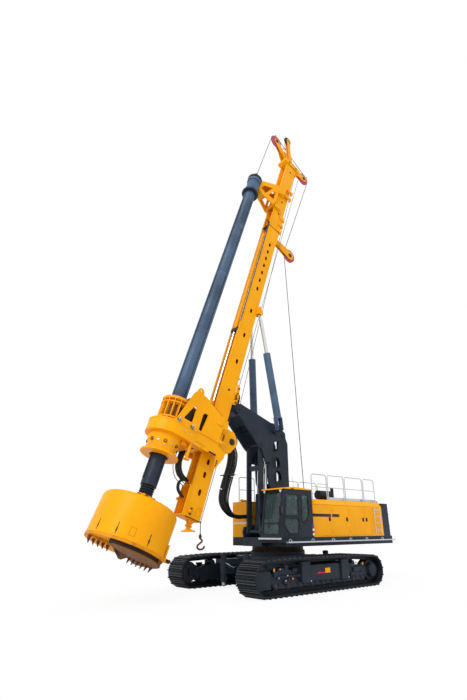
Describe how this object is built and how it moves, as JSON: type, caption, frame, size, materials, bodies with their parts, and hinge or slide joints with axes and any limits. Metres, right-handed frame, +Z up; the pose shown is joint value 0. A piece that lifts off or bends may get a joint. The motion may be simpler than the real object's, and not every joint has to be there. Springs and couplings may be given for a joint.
{
  "type": "rotary piling rig",
  "caption": "A tracked rotary piling rig parked with its tall yellow mast raked back, a dark kelly bar in the rotary drive and a wide drilling bucket hanging in front.",
  "frame": {"origin": "on the ground under the centre of the slew ring", "axes": "+X is the machine's front, +Y its left side, +Z up; units are metres, the ground is z = 0"},
  "size_m": [14.9316, 5.26, 25.7076],
  "materials": {
    "yellow": "satin",
    "slate": "satin",
    "kelly_blue": "satin",
    "black": "matte",
    "silver": "satin",
    "chrome": "polished",
    "steel": "matte",
    "glass": "clear",
    "red": "matte",
    "seat": "matte"
  },
  "bodies": {
    "undercarriage": {"car_body": "slate", "support_jacks": "slate", "slew_ring": "slate", "track_frames": "slate", "track_wheels": "steel", "track_left": "steel", "track_right": "steel"},
    "upper": {"deck_frame": "slate", "walkway": "silver", "cab_shell": "slate", "cab_glass": "glass", "cab_roof": "yellow", "cab_seat": "seat", "hood": "yellow", "engine_block": "black", "counterweight": "slate", "side_tank": "yellow", "handrails": "silver", "exhaust": "silver", "winch_frame": "slate"},
    "cab_door": {"cab_door": "slate", "cab_door_glass": "glass"},
    "main_winch_drum": {"winch_drum": "slate"},
    "rear_arm": {"rear_arm": "slate"},
    "front_link": {"front_link": "slate"},
    "triangle_frame": {"triangle_frame": "slate"},
    "luff_barrels": {"luff_barrels": "slate"},
    "luff_rods": {"luff_rods": "chrome"},
    "prop_yokes": {"prop_yokes": "slate"},
    "prop_barrel_left": {"prop_barrel_left": "kelly_blue"},
    "prop_barrel_right": {"prop_barrel_right": "kelly_blue"},
    "prop_rod_left": {"prop_rod_left": "chrome"},
    "prop_rod_right": {"prop_rod_right": "chrome"},
    "cross_joint": {"cross_joint": "yellow"},
    "mast": {"lower_mast": "yellow", "upper_mast": "yellow", "mast_head": "yellow", "rope_guide": "yellow", "crowd_barrel": "yellow", "aux_winch_frame": "yellow"},
    "aux_winch_drum": {"aux_winch_drum": "slate"},
    "front_sheave": {"front_sheave": "red"},
    "rear_sheave": {"rear_sheave": "red"},
    "hook_sheave": {"hook_sheave": "red"},
    "guide_sheave": {"guide_sheave": "red"},
    "sled": {"sled": "yellow", "rotary_drive": "yellow", "crowd_rod": "chrome"},
    "drive_sleeve": {"drive_sleeve": "yellow"},
    "kelly_guide": {"kelly_guide": "yellow"},
    "kelly": {"kelly_bar": "kelly_blue", "bucket_shell": "slate"},
    "bucket_gate": {"bucket_gate": "slate"},
    "hood_door_left_1": {"hood_door_left_1": "yellow"},
    "hood_door_left_2": {"hood_door_left_2": "yellow"},
    "hood_door_left_3": {"hood_door_left_3": "yellow"},
    "hood_door_left_4": {"hood_door_left_4": "yellow"},
    "hood_door_right_2": {"hood_door_right_2": "yellow"},
    "hood_door_right_3": {"hood_door_right_3": "yellow"},
    "hood_door_right_4": {"hood_door_right_4": "yellow"}
  },
  "joints": [
    {"name": "slew", "type": "hinge", "parent": "undercarriage", "child": "upper", "pos_m": [0, 0, 1.55], "axis": [0, 0, 1], "continuous": true},
    {"name": "cab_door", "type": "hinge", "parent": "upper", "child": "cab_door", "pos_m": [0.3003, 1.68, 2.8], "axis": [0, 0, 1], "range_deg": [0, 100]},
    {"name": "hood_door_left_1", "type": "hinge", "parent": "upper", "child": "hood_door_left_1", "pos_m": [-0.5103, 1.6, 2.5], "axis": [0, 0, -1], "range_deg": [0, 110]},
    {"name": "hood_door_left_2", "type": "hinge", "parent": "upper", "child": "hood_door_left_2", "pos_m": [-1.8103, 1.6, 2.5], "axis": [0, 0, -1], "range_deg": [0, 110]},
    {"name": "hood_door_left_3", "type": "hinge", "parent": "upper", "child": "hood_door_left_3", "pos_m": [-3.0303, 1.6, 2.5], "axis": [0, 0, -1], "range_deg": [0, 110]},
    {"name": "hood_door_left_4", "type": "hinge", "parent": "upper", "child": "hood_door_left_4", "pos_m": [-4.7297, 1.6, 2.5], "axis": [0, 0, 1], "range_deg": [0, 110]},
    {"name": "hood_door_right_2", "type": "hinge", "parent": "upper", "child": "hood_door_right_2", "pos_m": [-1.8103, -1.6, 2.5], "axis": [0, 0, 1], "range_deg": [0, 110]},
    {"name": "hood_door_right_3", "type": "hinge", "parent": "upper", "child": "hood_door_right_3", "pos_m": [-3.0303, -1.6, 2.5], "axis": [0, 0, 1], "range_deg": [0, 110]},
    {"name": "hood_door_right_4", "type": "hinge", "parent": "upper", "child": "hood_door_right_4", "pos_m": [-4.7297, -1.6, 2.5], "axis": [0, 0, -1], "range_deg": [0, 110]},
    {"name": "main_winch_spin", "type": "hinge", "parent": "upper", "child": "main_winch_drum", "pos_m": [-1.6, 0.03, 3.1], "axis": [0, 1, 0], "continuous": true},
    {"name": "luff", "type": "hinge", "parent": "upper", "child": "rear_arm", "pos_m": [-0.02, 0, 2.6], "axis": [0, 1, 0], "range_deg": [-6, 12]},
    {"name": "luff_link", "type": "hinge", "parent": "upper", "child": "front_link", "pos_m": [1.28, 0, 2.1], "axis": [0, 1, 0], "range_deg": [-6, 12]},
    {"name": "luff_level", "type": "hinge", "parent": "rear_arm", "child": "triangle_frame", "pos_m": [-0.1, 0, 6.15], "axis": [0, 1, 0], "range_deg": [-12, 6]},
    {"name": "luff_barrel_swing", "type": "hinge", "parent": "upper", "child": "luff_barrels", "pos_m": [0.96, 0, 2.16], "axis": [0, 1, 0], "range_deg": [-6, 12]},
    {"name": "luff_rod_slide", "type": "slide", "parent": "luff_barrels", "child": "luff_rods", "axis": [-0.0792, 0, 0.9969], "range_m": [-0.25, 0.15]},
    {"name": "mast_tilt", "type": "hinge", "parent": "triangle_frame", "child": "cross_joint", "pos_m": [2.5, 0, 7.03], "axis": [0, 1, 0], "range_deg": [-1.5, 23.5]},
    {"name": "mast_side_tilt", "type": "hinge", "parent": "cross_joint", "child": "mast", "pos_m": [2.5, 0, 7.03], "axis": [0.9483, 0, 0.3173], "range_deg": [-4, 4]},
    {"name": "prop_yoke_swing", "type": "hinge", "parent": "triangle_frame", "child": "prop_yokes", "pos_m": [0.43, 0, 6.4], "axis": [0, 1, 0], "range_deg": [-2, 21]},
    {"name": "prop_barrel_swing_left", "type": "hinge", "parent": "prop_yokes", "child": "prop_barrel_left", "pos_m": [0.43, 0.82, 6.4], "axis": [0.9956, 0, -0.0939], "range_deg": [-4, 4]},
    {"name": "prop_rod_slide_left", "type": "slide", "parent": "prop_barrel_left", "child": "prop_rod_left", "axis": [0.0935, -0.0859, 0.9919], "range_m": [-0.06, 0.8]},
    {"name": "prop_barrel_swing_right", "type": "hinge", "parent": "prop_yokes", "child": "prop_barrel_right", "pos_m": [0.43, -0.82, 6.4], "axis": [0.9956, 0, -0.0939], "range_deg": [-4, 4]},
    {"name": "prop_rod_slide_right", "type": "slide", "parent": "prop_barrel_right", "child": "prop_rod_right", "axis": [0.0935, 0.0859, 0.9919], "range_m": [-0.06, 0.8]},
    {"name": "crowd", "type": "slide", "parent": "mast", "child": "sled", "axis": [-0.3173, 0, 0.9483], "range_m": [-1.2, 3.4]},
    {"name": "drive_spin", "type": "hinge", "parent": "sled", "child": "drive_sleeve", "pos_m": [5.63458, 0, 6.10327], "axis": [-0.3173, 0, 0.9483], "continuous": true},
    {"name": "kelly_hoist", "type": "slide", "parent": "mast", "child": "kelly_guide", "axis": [-0.3173, 0, 0.9483], "range_m": [-0.8, 1.2]},
    {"name": "kelly_spin", "type": "hinge", "parent": "kelly_guide", "child": "kelly", "pos_m": [0.87501, 0, 20.32813], "axis": [-0.3173, 0, 0.9483], "continuous": true},
    {"name": "bucket_gate", "type": "hinge", "parent": "kelly", "child": "bucket_gate", "pos_m": [5.74449, 0, 1.20503], "axis": [0, 1, 0], "range_deg": [0, 80]},
    {"name": "aux_winch_spin", "type": "hinge", "parent": "mast", "child": "aux_winch_drum", "pos_m": [2.77955, 0, 5.65415], "axis": [0, 1, 0], "continuous": true},
    {"name": "front_sheave_spin", "type": "hinge", "parent": "mast", "child": "front_sheave", "pos_m": [-1.23951, 0, 24.97744], "axis": [0, 1, 0], "continuous": true},
    {"name": "rear_sheave_spin", "type": "hinge", "parent": "mast", "child": "rear_sheave", "pos_m": [-3.5999, 0, 23.36516], "axis": [0, 1, 0], "continuous": true},
    {"name": "hook_sheave_spin", "type": "hinge", "parent": "mast", "child": "hook_sheave", "pos_m": [-2.10335, 0.18, 25.44764], "axis": [0, 1, 0], "continuous": true},
    {"name": "guide_sheave_spin", "type": "hinge", "parent": "mast", "child": "guide_sheave", "pos_m": [-1.81204, 0, 16.76119], "axis": [0, 1, 0], "continuous": true}
  ],
  "couplings": [
    {"joint": "luff_link", "follows": "luff", "ratio": 1},
    {"joint": "luff_level", "follows": "luff", "ratio": -1},
    {"joint": "luff_barrel_swing", "follows": "luff", "ratio": 0.8443},
    {"joint": "luff_rod_slide", "follows": "luff", "m_per_rad": -0.9679},
    {"joint": "prop_yoke_swing", "follows": "mast_tilt", "ratio": 0.8221},
    {"joint": "prop_rod_slide_left", "follows": "mast_tilt", "m_per_rad": 1.8737},
    {"joint": "prop_rod_slide_right", "follows": "mast_tilt", "m_per_rad": 1.8737},
    {"joint": "prop_barrel_swing_left", "follows": "mast_side_tilt", "ratio": 0.867},
    {"joint": "prop_barrel_swing_right", "follows": "mast_side_tilt", "ratio": 0.867},
    {"joint": "kelly_spin", "follows": "drive_spin", "ratio": 1}
  ]
}
